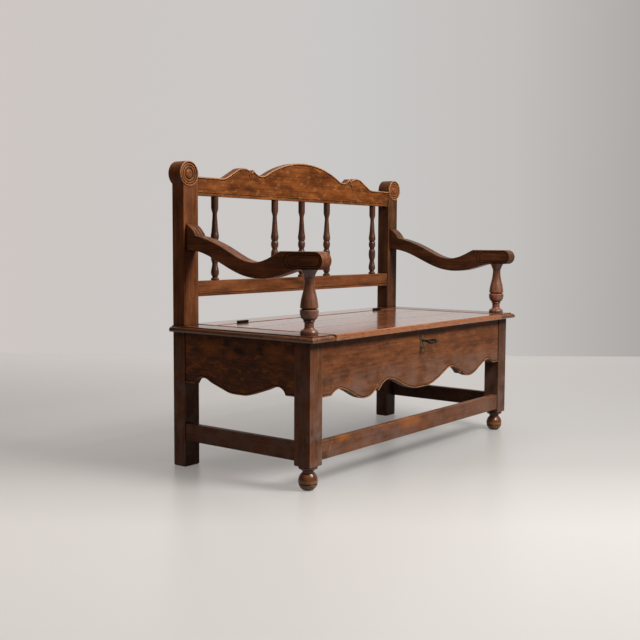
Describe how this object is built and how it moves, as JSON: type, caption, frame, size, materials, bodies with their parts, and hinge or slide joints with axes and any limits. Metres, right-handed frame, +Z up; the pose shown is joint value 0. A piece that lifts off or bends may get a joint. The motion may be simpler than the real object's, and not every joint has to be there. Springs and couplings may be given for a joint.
{
  "type": "settle bench",
  "caption": "Wooden box settle with spindle back, curved arms on turned supports, and a lockable chest under a hinged seat.",
  "frame": {"origin": "middle of the overall footprint, on the floor", "axes": "+X to the right when facing the bench, +Y from the front to the back, +Z up"},
  "size_m": [1.252, 0.6076, 0.9955],
  "materials": {
    "stained_oak": "dark stained oak, satin varnish, worn lighter on edges",
    "seat_oak": "dark stained oak, polished by use, satin to semi-gloss",
    "inner_oak": "plain oak, unvarnished inside",
    "old_brass": "patinated brass, dull",
    "key_iron": "dark iron, hand rubbed",
    "hinge_iron": "dark iron",
    "lock_steel": "plain steel, oiled",
    "steel_screws": "plain steel"
  },
  "bodies": {
    "frame": {"arm_left": "stained_oak", "arm_right": "stained_oak", "arm_support_left": "stained_oak", "arm_support_right": "stained_oak", "back_panel": "inner_oak", "ball_foot_left": "stained_oak", "ball_foot_right": "stained_oak", "chest_floor": "inner_oak", "crest_rail": "stained_oak", "escutcheon": "old_brass", "escutcheon_pins": "old_brass", "floor_bearer_back": "inner_oak", "floor_bearer_front": "inner_oak", "front_apron": "stained_oak", "front_leg_left": "stained_oak", "front_leg_right": "stained_oak", "front_stretcher": "stained_oak", "hinge_fixed_leaf_left": "hinge_iron", "hinge_fixed_leaf_right": "hinge_iron", "hinge_pin_left": "hinge_iron", "hinge_pin_right": "hinge_iron", "hinge_screws_fixed": "steel_screws", "lock_case": "lock_steel", "lock_plate": "lock_steel", "lock_screws": "steel_screws", "lower_back_rail": "stained_oak", "rear_post_left": "stained_oak", "rear_post_right": "stained_oak", "seat_rear_board": "seat_oak", "seat_side_board_left": "seat_oak", "seat_side_board_right": "seat_oak", "side_apron_left": "stained_oak", "side_apron_right": "stained_oak", "side_stretcher_left": "stained_oak", "side_stretcher_right": "stained_oak", "spindle_1": "stained_oak", "spindle_2": "stained_oak", "spindle_3": "stained_oak", "spindle_4": "stained_oak", "spindle_5": "stained_oak"},
    "lid": {"seat_lid": "seat_oak", "lid_cleat_left": "inner_oak", "lid_cleat_right": "inner_oak", "cleat_screws": "steel_screws", "hinge_lid_leaf_left": "hinge_iron", "hinge_lid_leaf_right": "hinge_iron", "hinge_screws_lid": "steel_screws", "lock_staple": "lock_steel", "staple_screws": "steel_screws"},
    "key": {"key": "key_iron"},
    "bolt": {"lock_bolt": "lock_steel"}
  },
  "joints": [
    {"name": "lid_hinge", "type": "hinge", "parent": "frame", "child": "lid", "pos_m": [0, 0.20205, 0.4542], "axis": [-1, 0, 0], "range_deg": [0, 96.5]},
    {"name": "key_turn", "type": "hinge", "parent": "frame", "child": "key", "pos_m": [0, -0.25, 0.39], "axis": [0, 1, 0], "range_deg": [-70, 290]},
    {"name": "bolt_slide", "type": "slide", "parent": "frame", "child": "bolt", "axis": [1, 0, 0], "range_m": [-0.002, 0.0081]}
  ],
  "couplings": [
    {"joint": "bolt_slide", "follows": "key_turn", "m_per_rad": 0.0015915}
  ]
}
